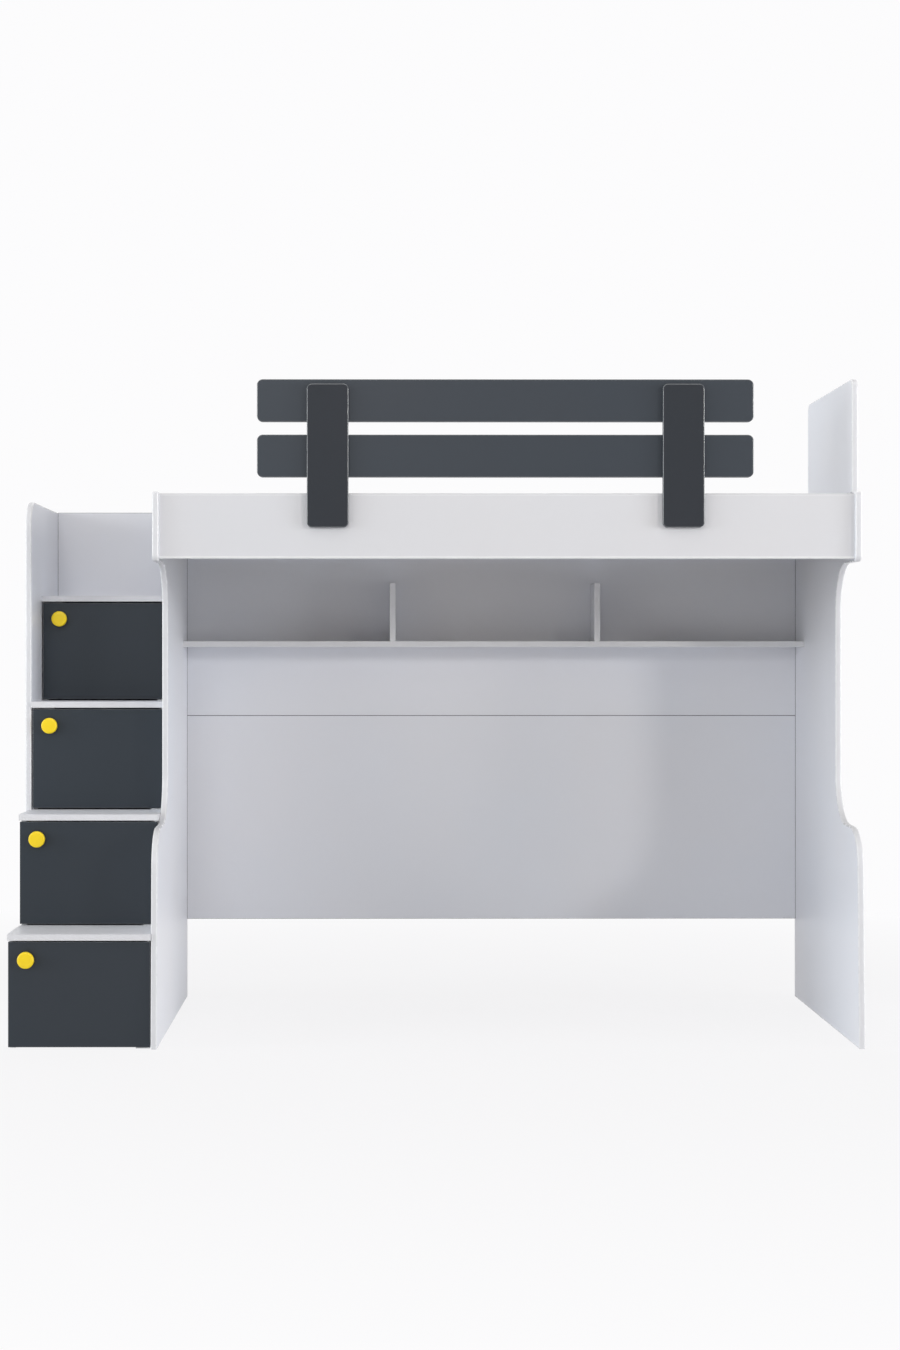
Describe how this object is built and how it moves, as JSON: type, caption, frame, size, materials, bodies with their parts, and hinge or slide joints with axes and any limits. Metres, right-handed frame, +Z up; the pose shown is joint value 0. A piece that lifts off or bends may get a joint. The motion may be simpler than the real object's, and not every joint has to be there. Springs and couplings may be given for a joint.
{
  "type": "loft bed with locker stair",
  "caption": "High loft bed with a guard rail, an open space with a back shelf below, and a stair of lockers with hinged doors at its left end.",
  "frame": {"origin": "on the floor, under the middle of the whole bed's box", "axes": "+X along the bed from the stair to the headboard, +Y from the front to the wall, +Z up"},
  "size_m": [2.472, 1.01, 1.933],
  "materials": {
    "white_melamine": "white melamine faced board with matching edge band, satin",
    "anthracite_melamine": "anthracite melamine faced board with matching edge band, satin",
    "yellow_plastic": "yellow moulded plastic, half gloss",
    "zinc_steel": "bright zinc plated steel",
    "grey_nylon": "light grey nylon"
  },
  "bodies": {
    "frame": {"left_end_panel": "white_melamine", "right_end_panel": "white_melamine", "headboard_panel": "white_melamine", "front_rail_board": "white_melamine", "back_rail_board": "white_melamine", "front_ledge": "white_melamine", "back_ledge": "white_melamine", "base_board_left": "white_melamine", "base_board_middle": "white_melamine", "base_board_right": "white_melamine", "cross_bearer_left": "white_melamine", "cross_bearer_right": "white_melamine", "guard_post_left": "anthracite_melamine", "guard_post_right": "anthracite_melamine", "guard_slat_upper": "anthracite_melamine", "guard_slat_lower": "anthracite_melamine", "back_panel_lower": "white_melamine", "back_panel_upper": "white_melamine", "shelf_board": "white_melamine", "shelf_divider_left": "white_melamine", "shelf_divider_right": "white_melamine", "stair_side_left": "white_melamine", "stair_side_right": "white_melamine", "stair_tall_side": "white_melamine", "stair_back_panel": "white_melamine", "locker_floor": "white_melamine", "tread_1": "white_melamine", "tread_2": "white_melamine", "tread_3": "white_melamine", "tread_4": "white_melamine", "pivot_plate_1": "zinc_steel", "upper_bush_1": "grey_nylon", "door_catch_1": "grey_nylon", "pivot_plate_2": "zinc_steel", "upper_bush_2": "grey_nylon", "door_catch_2": "grey_nylon", "pivot_plate_3": "zinc_steel", "upper_bush_3": "grey_nylon", "door_catch_3": "grey_nylon", "pivot_plate_4": "zinc_steel", "upper_bush_4": "grey_nylon", "door_catch_4": "grey_nylon"},
    "door_1": {"door_1": "anthracite_melamine", "knob_1": "yellow_plastic", "lower_bush_1": "grey_nylon", "upper_pin_1": "zinc_steel"},
    "door_2": {"door_2": "anthracite_melamine", "knob_2": "yellow_plastic", "lower_bush_2": "grey_nylon", "upper_pin_2": "zinc_steel"},
    "door_3": {"door_3": "anthracite_melamine", "knob_3": "yellow_plastic", "lower_bush_3": "grey_nylon", "upper_pin_3": "zinc_steel"},
    "door_4": {"door_4": "anthracite_melamine", "knob_4": "yellow_plastic", "lower_bush_4": "grey_nylon", "upper_pin_4": "zinc_steel"}
  },
  "joints": [
    {"name": "door_1_hinge", "type": "hinge", "parent": "frame", "child": "door_1", "pos_m": [-0.819, -0.473, 0.159], "axis": [0, 0, 1], "range_deg": [0, 90]},
    {"name": "door_2_hinge", "type": "hinge", "parent": "frame", "child": "door_2", "pos_m": [-0.819, -0.267, 0.488], "axis": [0, 0, 1], "range_deg": [0, 90]},
    {"name": "door_3_hinge", "type": "hinge", "parent": "frame", "child": "door_3", "pos_m": [-0.819, -0.061, 0.817], "axis": [0, 0, 1], "range_deg": [0, 90]},
    {"name": "door_4_hinge", "type": "hinge", "parent": "frame", "child": "door_4", "pos_m": [-0.819, 0.145, 1.146], "axis": [0, 0, 1], "range_deg": [0, 90]}
  ]
}
